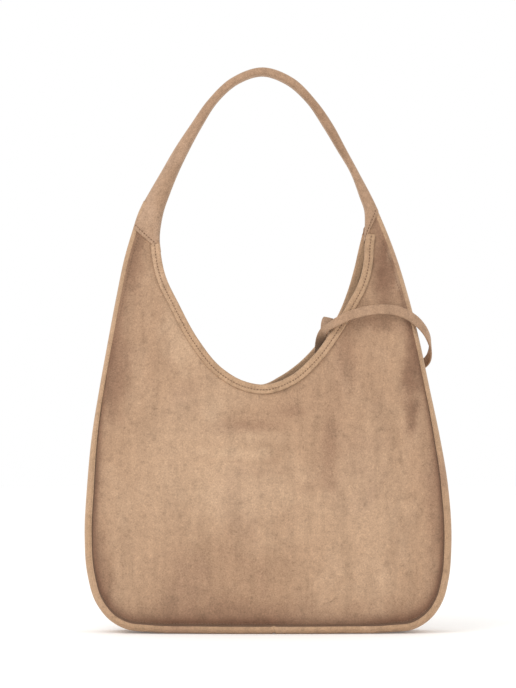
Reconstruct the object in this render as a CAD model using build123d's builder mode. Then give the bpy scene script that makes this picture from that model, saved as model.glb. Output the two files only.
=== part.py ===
from build123d import *
import os
from math import asin, cos, degrees, pi, radians, sin, sqrt, tan

# A hobo bag: two wide panels that rise into wings, a gusset between them, a lining, and a strap that
# arches from wing to wing. +X is the bag's right as seen from the front, +Y is its back and +Z is up.
# The origin is on the floor, under the middle of the bag. All sizes are in millimetres.

os.makedirs("parts", exist_ok=True)

# ---------------------------------------------------------------- driving sizes

bag_width = 366.0           # across the widest part, near the bottom
wing_height = 376.0         # from the floor to the sewn tops of the wings
strap_height = 565.0        # from the floor to the top of the strap

base_half_depth = 40.0      # half the bag's depth at the bottom edge
belly_half_depth = 46.0     # at the fullest part
mouth_half_depth = 36.5     # at the lowest part of the mouth
shoulder_half_depth = 23.0  # halfway up the wings
wing_half_depth = 14.0      # at the tops of the wings
bulge_radius = 1200.0       # how strongly both faces bulge from side to side

skin = 1.4                  # suede
interlining = 1.8           # padding behind the suede
lining_cloth = 0.8
seam_gap = 0.2              # room left between layers that are sewn together
rim = 7.0                   # gusset that shows round each panel
board = 2.0                 # base stiffener
join_x = 6.0                # where the two gusset halves meet on the bottom

binding_cloth = 1.1
binding_width = 8.5

strap_half_depth = 15.0     # half the strap's width, front to back
strap_foot_half_depth = 6.0  # half its width where it folds over the wings
strap_flare = 40.0          # height over which the strap widens above its foot
strap_skin = 1.3
tape = 1.0
tape_half_width = 9.0
fold_rise = 33.0            # from the wings' tops up to the line the strap folds about

pack = skin + seam_gap + interlining + seam_gap + lining_cloth   # suede to the inside of the lining
fold_height = wing_height + fold_rise
front, back = -1, 1

# Each bottom corner is two arcs in a row: a tight one off the floor and a wide one up to the upright side.
left_corner = [(50.0, 65.0), (150.0, 25.0)]      # radius, degrees
right_corner = [(46.0, 72.0), (180.0, 18.0)]

# ---------------------------------------------------------------- outline of the bag and the strap

half_width = bag_width / 2
strap_rise = strap_height - fold_height


def on_bag(share_x, share_z):
    """A point of the outline, from shares of the half width and of the wing height."""
    return (share_x * half_width, share_z * wing_height)


def on_strap(share_x, share_z):
    """A point of the strap, from shares of the half width and of its rise above the fold."""
    return (share_x * half_width, fold_height + share_z * strap_rise)


left_side = [on_bag(-0.934, 0.601), on_bag(-0.828, 0.891), on_bag(-0.783, 1.0), on_bag(-0.740, 1.07)]
right_side = [on_bag(0.902, 0.617), on_bag(0.700, 1.0), on_bag(0.645, 1.07)]

front_low, back_low = on_bag(-0.066, 0.658), on_bag(-0.077, 0.657)
front_mouth = {"left": [on_bag(-0.273, 0.713), on_bag(-0.525, 0.904), on_bag(-0.588, 1.0)],
               "right": [on_bag(0.219, 0.726), on_bag(0.432, 0.872), on_bag(0.519, 1.0)]}
back_mouth = {"left": [on_bag(-0.284, 0.710), on_bag(-0.536, 0.904), on_bag(-0.596, 1.0)],
              "right": [on_bag(0.164, 0.713), on_bag(0.415, 0.872), on_bag(0.486, 1.0)]}

strap_top_outer, strap_top_inner = on_strap(-0.027, 1.0), on_strap(-0.038, 0.955)
strap_outer = {"left": [on_strap(-0.268, 0.865), on_strap(-0.546, 0.404), on_strap(-0.765, -0.135)],
               "right": [on_strap(0.202, 0.865), on_strap(0.464, 0.404), on_strap(0.672, -0.135)]}
strap_inner = {"left": [on_strap(-0.213, 0.865), on_strap(-0.464, 0.404), on_strap(-0.597, -0.135)],
               "right": [on_strap(0.131, 0.865), on_strap(0.415, 0.404), on_strap(0.525, 0.096),
                         on_strap(0.519, -0.135)]}

depth_line = [(base_half_depth, 0.0), (belly_half_depth, 0.35), (mouth_half_depth, 0.68),
              (shoulder_half_depth, 0.9), (wing_half_depth, 1.0)]

reach = 2 * belly_half_depth    # deep enough to cut through the whole bag, front to back
bulge_angle = asin(0.8 * bag_width / bulge_radius)  # the arc of the bulge, well wider than the bag

# ---------------------------------------------------------------- shapes that the pieces are cut from


def slab(inset):
    """The space between the bag's bulging front and back faces, each moved inwards by inset."""
    with BuildPart() as body:
        for side, mode in ((front, Mode.ADD), (back, Mode.INTERSECT)):
            centre = Vector(0, -side * bulge_radius, 0)
            outwards = Vector(sin(bulge_angle), cos(bulge_angle), 0) * side
            section = Plane(origin=centre, x_dir=outwards, z_dir=outwards.cross(Vector(0, 0, 1)))
            with BuildSketch(section):
                with BuildLine():
                    face = Spline(*[(bulge_radius + half - inset, share * wing_height) for half, share in depth_line])
                    Polyline(face @ 1, (bulge_radius / 2, wing_height), (bulge_radius / 2, 0), face @ 0)
                make_face()
            revolve(axis=Axis(centre, (0, 0, 1)), revolution_arc=2 * degrees(bulge_angle), mode=mode)
    return body.part


def arcs(start, heading, points):
    """A chain of arcs through the points, each leaving along the end of the one before."""
    for point in points:
        piece = TangentArc(start, point, tangent=heading)
        start, heading = point, piece % 1
    return piece


def side_line(corner, points, side):
    """One side of the bag: from the floor round the bottom corner and up to the shoulder."""
    turn, width = 0.0, 0.0
    for radius, sweep in corner:
        width += radius * (sin(radians(turn + sweep)) - sin(radians(turn)))
        turn += sweep
    start, heading = (side * (half_width - width), 0), (side, 0)
    foot = start
    for radius, sweep in corner:
        piece = JernArc(start, heading, radius, side * sweep)
        start, heading = piece @ 1, piece % 1
    return foot, arcs(start, heading, points)


def prism(inset):
    """The bag's front outline, moved inwards by inset and run right through from front to back."""
    with BuildPart() as body:
        with BuildSketch(Plane.XZ):
            with BuildLine():
                left_foot, left = side_line(left_corner, left_side, -1)
                right_foot, right = side_line(right_corner, right_side, 1)
                Line(left_foot, right_foot)
                Line(left @ 1, right @ 1)
            make_face()
            if inset:
                offset(amount=-inset, kind=Kind.INTERSECTION)
        extrude(amount=reach, both=True)
    return body.part


def form(edge_inset, face_inset):
    """The whole bag, closed over at the mouth, with its sides and its faces moved inwards."""
    with BuildPart() as body:
        add(prism(edge_inset))
        add(slab(face_inset), mode=Mode.INTERSECT)
    return body.part


def mouth(side, grow):
    """All that lies above the front or the back edge of the mouth, grown by grow."""
    low, points = (front_low, front_mouth) if side == front else (back_low, back_mouth)
    with BuildPart() as body:
        with BuildSketch(Plane.XZ):
            with BuildLine():
                left = arcs(low, (-1, 0), points["left"])
                right = arcs(low, (1, 0), points["right"])
                left_top, right_top = ((end.X, strap_height) for end in (left @ 1, right @ 1))
                Polyline(left @ 1, left_top, right_top, right @ 1)
            make_face()
            if grow:
                offset(amount=grow, kind=Kind.INTERSECTION)
        extrude(amount=-side * reach)
    return body.part


def half_space(side):
    """A block over the front or the back half of the bag."""
    with BuildPart() as body:
        with BuildSketch(Plane.XZ):
            with Locations((0, strap_height / 2)):
                Rectangle(2 * bag_width, 2 * strap_height)
        extrude(amount=-side * reach)
    return body.part


def sheet(side, edge_inset, outer, inner):
    """One layer of the front or the back, between two depths, cut off where the mouth's binding starts."""
    with BuildPart() as body:
        add(form(edge_inset, outer))
        add(slab(inner), mode=Mode.SUBTRACT)
        add(half_space(side), mode=Mode.INTERSECT)
        add(mouth(side, binding_cloth + seam_gap), mode=Mode.SUBTRACT)
    return body.part


def rod(side, x, z, radius, y_from=0.0, y_to=reach):
    """A round bar along Y on the front or the back half, between two distances from the middle."""
    with BuildPart() as body:
        with BuildSketch(Plane.XZ.offset(-side * y_from)):
            with Locations((x, z)):
                Circle(radius)
        extrude(amount=-side * (y_to - y_from))
    return body.part


def plate_on(side, x, z, radius, outer, inner):
    """A round plate that follows the front or the back between two depths."""
    with BuildPart() as body:
        add(rod(side, x, z, radius))
        add(slab(outer), mode=Mode.INTERSECT)
        add(slab(inner), mode=Mode.SUBTRACT)
    return body.part


def block(x, y, z):
    """A block from its limits along each axis."""
    with BuildPart() as body:
        with Locations(((x[0] + x[1]) / 2, (y[0] + y[1]) / 2, (z[0] + z[1]) / 2)):
            Box(x[1] - x[0], y[1] - y[0], z[1] - z[0])
    return body.part


def half_depth(z, inset, x=0.0):
    """Half the bag's depth at height z, at x from its centre line, less inset."""
    line = Spline(*[(half, share * wing_height) for half, share in depth_line])
    low, high = 0.0, 1.0
    while high - low > 1e-6:
        middle = (low + high) / 2
        low, high = (middle, high) if (line @ middle).Y < z else (low, middle)
    return (line @ low).X - inset - (bulge_radius - sqrt(bulge_radius**2 - x**2))


def finish(piece, name):
    """Names a piece and writes it to its own file."""
    piece.part.label = name
    export_step(piece.part, f"parts/{name}.step")
    print(f"{name:20s} {len(piece.part.solids())} solid(s) {piece.part.volume / 1000:9.2f} cm3")


# ---------------------------------------------------------------- gusset: a channel with turned edges

with BuildPart() as gusset:
    add(form(0, 0))
    add(form(skin, skin), mode=Mode.SUBTRACT)
    add(prism(rim), mode=Mode.SUBTRACT)

gusset_sides = {"gusset_left": (-bag_width, join_x - seam_gap / 2), "gusset_right": (join_x + seam_gap / 2, bag_width)}
for name, across in gusset_sides.items():
    with BuildPart() as gusset_half:
        add(gusset.part)
        add(block(across, (-reach, reach), (-reach, strap_height)), mode=Mode.INTERSECT)
    finish(gusset_half, name)

tape_reach, tape_rise = 10.0, 0.4
lining_edge = skin + seam_gap + tape_rise + board + seam_gap
with BuildPart() as gusset_join_tape:
    with Locations((join_x, 0, skin + seam_gap / 2 + tape_rise / 2)):
        Box(2 * tape_reach, 2 * (base_half_depth - rim), tape_rise)
finish(gusset_join_tape, "gusset_join_tape")

# ---------------------------------------------------------------- base board, under the lining

board_share = 0.7                   # of the bag's width, so that the board ends before the corners
board_half_length, board_half_depth = board_share * half_width, base_half_depth - rim - interlining
with BuildPart() as base_board:
    with Locations((0, 0, skin + seam_gap + tape_rise + board / 2)):
        Box(2 * board_half_length, 2 * board_half_depth, board)
    fillet(base_board.edges().filter_by(Axis.Z), radius=board_half_depth / 2)
finish(base_board, "base_board")

# ---------------------------------------------------------------- strap: arches from wing to wing


def strap_form(inset, open_foot=False):
    """The strap's outer shape moved inwards by inset, rounded at its feet or run on down past them."""
    foot, wide = strap_foot_half_depth - inset, strap_half_depth - inset
    shoulder_z, low = fold_height + strap_flare, fold_height - strap_flare
    with BuildPart() as body:
        with BuildSketch(Plane.XZ):
            with BuildLine():
                for top, legs in ((strap_top_outer, strap_outer), (strap_top_inner, strap_inner)):
                    left, right = arcs(top, (-1, 0), legs["left"]), arcs(top, (1, 0), legs["right"])
                Line(strap_outer["left"][-1], strap_inner["left"][-1])
                Line(strap_outer["right"][-1], strap_inner["right"][-1])
            make_face()
            if inset:
                offset(amount=-inset, kind=Kind.ARC)
        extrude(amount=reach, both=True)
        with BuildSketch(Plane.YZ):
            with BuildLine():
                Polyline((foot, fold_height), (wide, shoulder_z), (wide, strap_height), (-wide, strap_height),
                         (-wide, shoulder_z), (-foot, fold_height))
                if open_foot:
                    Polyline((-foot, fold_height), (-foot, low), (foot, low), (foot, fold_height))
                else:
                    ThreePointArc((-foot, fold_height), (0, fold_height - foot), (foot, fold_height))
            make_face()
        extrude(amount=bag_width, both=True, mode=Mode.INTERSECT)
    return body.part


def under_strap(grow, half_width_y):
    """The space under the strap's inner edge, grown by grow."""
    with BuildPart() as body:
        with BuildSketch(Plane.XZ):
            with BuildLine():
                arcs(strap_top_inner, (-1, 0), strap_inner["left"])
                arcs(strap_top_inner, (1, 0), strap_inner["right"])
                Line(strap_inner["left"][-1], strap_inner["right"][-1])
            make_face()
            offset(amount=grow, kind=Kind.ARC)
        extrude(amount=half_width_y, both=True)
    return body.part


strap_inside = strap_skin + seam_gap
with BuildPart() as strap_cover:
    add(strap_form(0))
    add(strap_form(strap_skin, open_foot=True), mode=Mode.SUBTRACT)
finish(strap_cover, "strap_cover")

with BuildPart() as strap_tape:
    add(strap_form(strap_inside))
    add(under_strap(strap_inside + tape, tape_half_width), mode=Mode.INTERSECT)
finish(strap_tape, "strap_tape")

with BuildPart() as strap_core:
    add(strap_form(strap_inside))
    add(under_strap(strap_inside + tape + seam_gap, tape_half_width + seam_gap), mode=Mode.SUBTRACT)
finish(strap_core, "strap_core")

# The short folded pieces between the wings' tops and the strap's feet give way when the strap folds.
join_low, join_high = wing_height + seam_gap, fold_height - strap_foot_half_depth - seam_gap
for name, outer_top, inner_top, outer_foot, inner_foot in (
        ("strap_join_left", left_side[-2], front_mouth["left"][-1], strap_outer["left"][-1], strap_inner["left"][-1]),
        ("strap_join_right", right_side[-2], front_mouth["right"][-1], strap_outer["right"][-1],
         strap_inner["right"][-1])):
    with BuildPart() as strap_join:
        with BuildSketch(Plane.XZ):
            with BuildLine():
                inwards = 1 if inner_top[0] > outer_top[0] else -1
                Polyline((outer_top[0] + inwards * strap_skin, join_low), (inner_top[0], join_low),
                         (inner_foot[0], join_high), (outer_foot[0] + 2 * inwards * strap_skin, join_high), close=True)
            make_face()
        extrude(amount=strap_foot_half_depth, both=True)
    finish(strap_join, name)

# ---------------------------------------------------------------- faces, padding and lining

under_skin = skin + seam_gap                          # depth of the padding
under_padding = under_skin + interlining + seam_gap   # depth of the lining
inside = pack + seam_gap                              # depth where a piece on the lining starts

snap_radius, snap_rivet_radius = 9.0, 2.0
snap_drop = snap_radius + 4.0        # from the binding down to the middle of the snap
snap_x, snap_z = front_low[0], front_low[1] - binding_width - snap_drop
snap_plate, washer = 1.6, 1.0

zip_z, zip_half_length = 0.5 * wing_height, 55.0
zip_slot_half_height, zip_clear = 4.0, 0.3
pocket_half_length, pocket_height, pocket_rise = 78.0, 120.0, 6.0
pocket_top = zip_z + zip_slot_half_height + pocket_rise

tab_x, tab_z, tab_half_width = 54.0, 252.0, 6.0

for side, side_name in ((front, "front"), (back, "back")):
    with BuildPart() as panel:
        add(sheet(side, rim + seam_gap, 0, skin))
    finish(panel, f"{side_name}_panel")

    pocket_space = block((-pocket_half_length - zip_clear, pocket_half_length + zip_clear), (0, reach),
                         (pocket_top - pocket_height - zip_clear, pocket_top + zip_clear))
    with BuildPart() as padding:
        add(sheet(side, lining_edge, under_skin, under_skin + interlining))
        add(rod(side, snap_x, snap_z, snap_radius + seam_gap), mode=Mode.SUBTRACT)
        if side == back:
            add(pocket_space, mode=Mode.SUBTRACT)
    finish(padding, f"{side_name}_interlining")

    with BuildPart() as lining:
        add(sheet(side, lining_edge, under_padding, pack))
        add(rod(side, snap_x, snap_z, snap_rivet_radius + seam_gap), mode=Mode.SUBTRACT)
        if side == back:
            add(block((-zip_half_length, zip_half_length), (0, reach),
                      (zip_z - zip_slot_half_height, zip_z + zip_slot_half_height)), mode=Mode.SUBTRACT)
    finish(lining, f"{side_name}_lining")

    with BuildPart() as binding:
        add(mouth(side, binding_width))
        add(mouth(side, 0), mode=Mode.SUBTRACT)
        add(slab(-binding_cloth), mode=Mode.INTERSECT)
        add(slab(inside + binding_cloth), mode=Mode.SUBTRACT)
        channel = Part() + slab(-seam_gap / 2) - slab(inside) - mouth(side, binding_cloth)
        add(channel, mode=Mode.SUBTRACT)
    finish(binding, f"{side_name}_binding")

    with BuildPart() as snap_washer:
        add(plate_on(side, snap_x, snap_z, snap_radius, under_padding - seam_gap - washer, under_padding - seam_gap))
        add(rod(side, snap_x, snap_z, snap_rivet_radius), mode=Mode.SUBTRACT)
    finish(snap_washer, f"snap_washer_{side_name}")

with BuildPart() as lining_gusset:
    add(form(lining_edge, pack + seam_gap))
    add(form(lining_edge + lining_cloth, pack), mode=Mode.SUBTRACT)
    for side in (front, back):
        add(mouth(side, binding_cloth + seam_gap), mode=Mode.SUBTRACT)
finish(lining_gusset, "lining_gusset")

# ---------------------------------------------------------------- magnetic snap, one half on each lining

post_radius, post_length = 2.6, 2.4
rivet_end = half_depth(snap_z, under_padding - seam_gap - washer)
snap_face = half_depth(snap_z, inside + snap_plate)
with BuildPart() as snap_stud:
    add(plate_on(front, snap_x, snap_z, snap_radius, inside, inside + snap_plate))
    add(rod(front, snap_x, snap_z, snap_rivet_radius, snap_face + snap_plate / 2, rivet_end))
    add(rod(front, snap_x, snap_z, post_radius, snap_face - post_length, snap_face + snap_plate / 2))
finish(snap_stud, "snap_stud")

with BuildPart() as snap_socket:
    add(plate_on(back, snap_x, snap_z, snap_radius, inside, inside + snap_plate + post_length))
    add(rod(back, snap_x, snap_z, post_radius + seam_gap, 0, snap_face), mode=Mode.SUBTRACT)
    add(rod(back, snap_x, snap_z, snap_rivet_radius, snap_face + snap_plate / 2, rivet_end))
finish(snap_socket, "snap_socket")

# ---------------------------------------------------------------- zip pocket on the back lining

zip_tape, tooth, tooth_pitch = 0.6, 1.15, 2.7
tooth_reach, tooth_overlap, tooth_depth = 3.0, 0.8, 2.0
welt_depth, welt_lip, welt_border = 4.4, 1.0, 5.0
zip_front = half_depth(zip_z, inside) - welt_depth    # the welt's flat face, towards the inside of the bag
tape_y = zip_front + welt_lip + zip_clear
welt_wall, tape_end_gap = 2.0, 1.0
tape_edge = zip_slot_half_height + welt_border - welt_wall

with BuildPart() as zip_welt:
    with BuildSketch(Plane.XZ.offset(-zip_front)):
        with Locations((0, zip_z)):
            Rectangle(2 * (zip_half_length + welt_border), 2 * (zip_slot_half_height + welt_border))
            Rectangle(2 * zip_half_length, 2 * zip_slot_half_height, mode=Mode.SUBTRACT)
    extrude(amount=-reach)
    with BuildSketch(Plane.XZ.offset(-zip_front - welt_lip)):
        with Locations((0, zip_z)):
            Rectangle(2 * (zip_half_length + welt_border - welt_wall), 2 * (tape_edge + zip_clear))
    extrude(amount=-reach, mode=Mode.SUBTRACT)
    add(slab(inside), mode=Mode.INTERSECT)
finish(zip_welt, "zip_welt")

with BuildPart() as zip_tapes:
    for up in (1, -1):
        with Locations((0, tape_y + zip_tape / 2, zip_z + up * (tooth_reach + tape_edge) / 2)):
            Box(2 * (zip_half_length + welt_border - welt_wall - tape_end_gap), zip_tape, tape_edge - tooth_reach)
finish(zip_tapes, "zip_tapes")

teeth_left_out = 3                   # where the stops are
teeth = int(2 * zip_half_length / tooth_pitch) - teeth_left_out
for name, up, shift in (("zip_teeth_upper", 1, -0.25), ("zip_teeth_lower", -1, 0.25)):
    with BuildPart() as zip_teeth:
        middle = up * (tooth_reach - tooth_overlap) / 2
        with Locations((shift * tooth_pitch, tape_y + zip_tape / 2, zip_z + middle)):
            with GridLocations(tooth_pitch, 0, teeth, 1):
                Box(tooth, tooth_depth, tooth_reach + tooth_overlap)
    finish(zip_teeth, name)

stop_width, stop_inset = 1.4, 1.6
stop_x = zip_half_length - stop_inset
with BuildPart() as zip_stops:
    with Locations(*[(end * stop_x, tape_y + zip_tape / 2, zip_z) for end in (-1, 1)]):
        Box(stop_width, tooth_depth, 2 * tooth_reach)
finish(zip_stops, "zip_stops")

# The slider's two plates hold the teeth between them; an arch on the inner plate holds the pull.
slider_half_length, slider_half_height, plate = 4.6, 3.6, 0.9
slider_corner = 1.2
slider_x = stop_x - stop_width / 2 - zip_clear - seam_gap - slider_half_length
slider_gap = tooth_depth / 2 + zip_clear / 2
tooth_mid_y = tape_y + zip_tape / 2
plate_y = tooth_mid_y - slider_gap - plate
arch_outer, arch_hole, arch_half_height, pin_radius = 2.4, 1.3, 1.3, 0.9
with BuildPart() as zip_slider:
    for y in (plate_y, tooth_mid_y + slider_gap):
        with BuildSketch(Plane.XZ.offset(-y)):
            with Locations((slider_x, zip_z)):
                RectangleRounded(2 * slider_half_length, 2 * slider_half_height, slider_corner)
        extrude(amount=-plate)
    with BuildSketch(Plane.XY.offset(zip_z)):
        with Locations((slider_x, plate_y - arch_hole)):
            Circle(arch_outer)
        with Locations((slider_x, plate_y + plate / 2 + arch_outer)):
            Rectangle(3 * arch_outer, 2 * arch_outer, mode=Mode.SUBTRACT)
        with Locations((slider_x, plate_y - arch_hole)):
            Circle(arch_hole, mode=Mode.SUBTRACT)
    extrude(amount=arch_half_height, both=True)
finish(zip_slider, "zip_slider")

pull_half_width, pull_length, pull_half_thickness, pull_corner = 3.4, 24.0, 0.6, 1.6
pull_past_pin = 1.0
fork_length, fork_half_width = 7.0, 1.7
pin_y = plate_y - arch_hole
with BuildPart() as zip_pull:
    with BuildSketch(Plane.XZ.offset(-pin_y)):
        with Locations((slider_x - pull_length / 2 + pull_past_pin, zip_z)):
            RectangleRounded(pull_length, 2 * pull_half_width, pull_corner)
        with Locations((slider_x - arch_outer / 2 + pull_past_pin, zip_z)):
            Rectangle(fork_length, 2 * fork_half_width, mode=Mode.SUBTRACT)
    extrude(amount=pull_half_thickness, both=True)
    with Locations((slider_x, pin_y, zip_z)):
        Cylinder(pin_radius, 2 * (fork_half_width + pin_radius))
finish(zip_pull, "zip_pull")

with BuildPart() as zip_pocket_bag:
    add(block((-pocket_half_length, pocket_half_length), (0, reach), (pocket_top - pocket_height, pocket_top)))
    add(slab(under_skin), mode=Mode.INTERSECT)
    add(slab(under_skin + interlining), mode=Mode.SUBTRACT)
finish(zip_pocket_bag, "zip_pocket_bag")

# ---------------------------------------------------------------- loose strap: tab, ring and clamp

tab_thickness = 1.5
ring_radius, ring_clear, ring_half_width, ring_length, ring_corner = 1.3, 0.15, 9.0, 12.0, 2.6
ring_rise = 50.0                    # how steeply the strap pulls the ring up, in degrees
tab_length = 16.0
tab_loop = ring_radius + ring_clear + tab_thickness
bar_y = half_depth(tab_z, inside, tab_x + tab_half_width) - tab_loop - seam_gap

with BuildPart() as tether_tab:
    add(block((tab_x - tab_half_width, tab_x + tab_half_width), (0, reach), (tab_z, tab_z + tab_length)))
    add(slab(inside), mode=Mode.INTERSECT)
    add(slab(inside + tab_thickness), mode=Mode.SUBTRACT)
    with BuildSketch(Plane.YZ.offset(tab_x)):
        with Locations((bar_y, tab_z)):
            Circle(tab_loop)
            Circle(ring_radius + ring_clear, mode=Mode.SUBTRACT)
    extrude(amount=tab_half_width, both=True)
finish(tether_tab, "tether_tab")

pull_way = Vector(0, -cos(radians(ring_rise)), sin(radians(ring_rise)))
ring_plane = Plane(origin=(tab_x, bar_y, tab_z), x_dir=(1, 0, 0), z_dir=Vector(1, 0, 0).cross(pull_way))
with BuildPart() as tether_ring:
    with BuildLine(ring_plane) as ring_path:
        FilletPolyline((-ring_half_width, 0), (ring_half_width, 0), (ring_half_width, ring_length),
                       (-ring_half_width, ring_length), radius=ring_corner, close=True)
    with BuildSketch(Plane(origin=ring_path.line @ 0, z_dir=ring_path.line % 0)):
        Circle(ring_radius)
    sweep(path=ring_path.line)
finish(tether_ring, "tether_ring")

clamp_half_width, clamp_half_thickness, clamp_corner, clamp_length = 4.6, 2.6, 2.5, 13.0
with BuildPart() as tether_clamp:
    with BuildSketch(Plane.YZ.offset(tab_x)):
        eye = Vector(bar_y, tab_z) + Vector(pull_way.Y, pull_way.Z) * ring_length
        with Locations(Location((eye.X, eye.Y), 180 - ring_rise)):
            with Locations((clamp_length / 2 - clamp_half_thickness, 0)):
                RectangleRounded(clamp_length, 2 * clamp_half_thickness, clamp_corner)
            Circle(ring_radius + ring_clear, mode=Mode.SUBTRACT)
    extrude(amount=clamp_half_width, both=True)
finish(tether_clamp, "tether_clamp")

clamp_end = Vector(tab_x, bar_y, tab_z) + pull_way * (ring_length + clamp_length - clamp_half_thickness + 3 * seam_gap)

# The strap leaves the clamp, crosses the front edge of the mouth, lies over the right wing, goes round
# its side and behind it, and comes back over the rear edge to the same clamp.
tether_radius = 2.0
tether_spread = 2.5                  # between each end of the strap and the middle of the clamp
tether_out, tether_back = clamp_end - Vector(tether_spread, 0, 0), clamp_end + Vector(tether_spread, 0, 0)
tether_route = [
    tether_out, (51.2, 6.5, 277.5), (51.5, -4, 287), (53, -15.5, 296), (57.5, -28, 304), (66, -36, 309.5),
    (80, -37, 316.5), (96, -34, 321.5), (113, -31, 323.5), (130, -29, 322), (145, -26.5, 314.5),
    (156.5, -18, 303), (162.5, -5, 291), (163.5, 9, 280), (161, 23, 271), (151, 34, 264.5),
    (134, 39, 258), (117.5, 41, 256), (102, 42, 258), (88, 42, 264), (77, 41.5, 275),
    (70, 40, 288), (66, 38, 302), (62, 29.5, 315.5), (58.5, 18, 312.5), (57.2, 10, 300.5),
    (56.8, 6.5, 288.5), (56.6, 8.5, 278.5), tether_back]
points = [Vector(point) for point in tether_route]
bend_share = 0.45                    # of the shorter stretch beside each point
radii = []
for before, here, after in zip(points, points[1:], points[2:]):
    run = min((here - before).length, (after - here).length)
    turn = (here - before).get_angle(after - here)
    radii.append(bend_share * run / tan(radians(turn / 2)))
print("tether bends", [round(radius) for radius in radii])
with BuildPart() as tether_strap:
    with BuildLine() as tether_path:
        FilletPolyline(*points, radius=radii)
    with BuildSketch(Plane(origin=tether_path.line @ 0, z_dir=tether_path.line % 0)):
        Circle(tether_radius)
    sweep(path=tether_path.line)
tether_length = sum(edge.length for edge in tether_path.edges())
print("tether length", round(tether_length, 1), "volume over section times length",
      round(tether_strap.part.volume / (pi * tether_radius**2 * tether_length), 4))
finish(tether_strap, "tether_strap")

# ---------------------------------------------------------------- where the joints are

print(f"strap folds about X at z {fold_height}, over wings that end at z {wing_height}")
print(f"strap hangs from x {strap_top_inner[0]:.1f}, z {strap_top_inner[1]:.1f}")
print(f"zip pull turns about Z at x {slider_x:.2f}, y {pin_y:.2f}, z {zip_z:.2f} and slides {2 * slider_x:.1f}")
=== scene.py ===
# %% [markdown]
# # A hobo bag in brushed micro-suede
# The bag is two wide panels that rise into wings, a gusset between them, a lining, and a strap that
# arches from wing to wing. Those, the edge binding and a loose strap are built here as cloth with a
# thickness, meeting where they would be sewn. The fittings and the small parts inside the bag come
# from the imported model. Lengths here are in millimetres unless MM turns them into metres.

# %% Load the frame
import math

import bpy
import numpy as np
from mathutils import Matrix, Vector


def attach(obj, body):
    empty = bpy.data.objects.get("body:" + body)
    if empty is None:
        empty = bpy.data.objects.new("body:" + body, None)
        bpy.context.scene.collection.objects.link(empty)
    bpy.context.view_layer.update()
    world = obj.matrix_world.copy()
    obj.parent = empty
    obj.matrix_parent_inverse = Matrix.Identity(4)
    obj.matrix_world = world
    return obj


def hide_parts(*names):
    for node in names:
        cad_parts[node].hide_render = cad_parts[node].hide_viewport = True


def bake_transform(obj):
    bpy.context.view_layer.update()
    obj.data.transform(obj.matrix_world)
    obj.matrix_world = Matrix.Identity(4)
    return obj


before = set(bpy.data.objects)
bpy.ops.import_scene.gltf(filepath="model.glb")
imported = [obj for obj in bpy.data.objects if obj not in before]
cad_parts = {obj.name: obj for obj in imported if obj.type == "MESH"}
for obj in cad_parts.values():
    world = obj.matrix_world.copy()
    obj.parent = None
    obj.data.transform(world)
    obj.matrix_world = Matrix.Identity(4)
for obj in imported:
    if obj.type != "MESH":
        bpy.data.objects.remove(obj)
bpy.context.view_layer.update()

MM = 0.001


# %% [markdown]
# ## The camera
# The bag is seen straight on from four metres, through a long lens, so that its near and far parts are
# drawn to nearly the same scale. The camera stands nearly level with the middle of the bag.

# %% Camera
PICTURE_HEIGHT = 690 * MM
CAMERA_X, CAMERA_Z, CAMERA_DISTANCE = -10 * MM, 288.5 * MM, 4.0
SENSOR = 36.0

camera_data = bpy.data.cameras.new("camera")
camera_data.sensor_fit = "VERTICAL"
camera_data.sensor_height = SENSOR
camera_data.lens = SENSOR * CAMERA_DISTANCE / PICTURE_HEIGHT
camera = bpy.data.objects.new("camera", camera_data)
camera.location = (CAMERA_X, -CAMERA_DISTANCE, CAMERA_Z)
camera.rotation_euler = (math.radians(90), 0, 0)
bpy.context.scene.collection.objects.link(camera)
bpy.context.scene.camera = camera
print("lens", round(camera_data.lens), "mm")

# %% [markdown]
# ## Small helpers
# A mesh here is nearly always a grid of points: rows along a seam, columns across the cloth. One
# function turns such a grid into an object, and another gives cloth its thickness.

# %% Mesh helpers
TINY = 1e-9
FINE_STEPS = 40


def new_object(name, verts, faces, smooth=True):
    """A mesh object from points in millimetres."""
    mesh = bpy.data.meshes.new(name)
    mesh.from_pydata([tuple(p) for p in np.asarray(verts) * MM], [], faces)
    mesh.validate()
    mesh.polygons.foreach_set("use_smooth", [smooth] * len(mesh.polygons))
    mesh.update()
    obj = bpy.data.objects.new(name, mesh)
    bpy.context.scene.collection.objects.link(obj)
    return obj


def grid_faces(rows, columns, close_columns=False, flip=False, start=0):
    """Four-sided faces over a grid of points. A closed grid joins its last column to its first."""
    faces = []
    for i in range(rows - 1):
        here, below = start + i * columns, start + (i + 1) * columns
        for j in range(columns if close_columns else columns - 1):
            after = (j + 1) % columns
            quad = (here + j, here + after, below + after, below + j)
            faces.append(quad[::-1] if flip else quad)
    return faces


def tube_faces(rows, columns, flip=False, start=0):
    """The faces of a tube, with one more face over each of its ends."""
    first = tuple(start + j for j in range(columns))
    last = tuple(start + (rows - 1) * columns + j for j in range(columns))
    ends = [first, last[::-1]] if flip else [first[::-1], last]
    return grid_faces(rows, columns, close_columns=True, flip=flip, start=start) + ends


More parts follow.
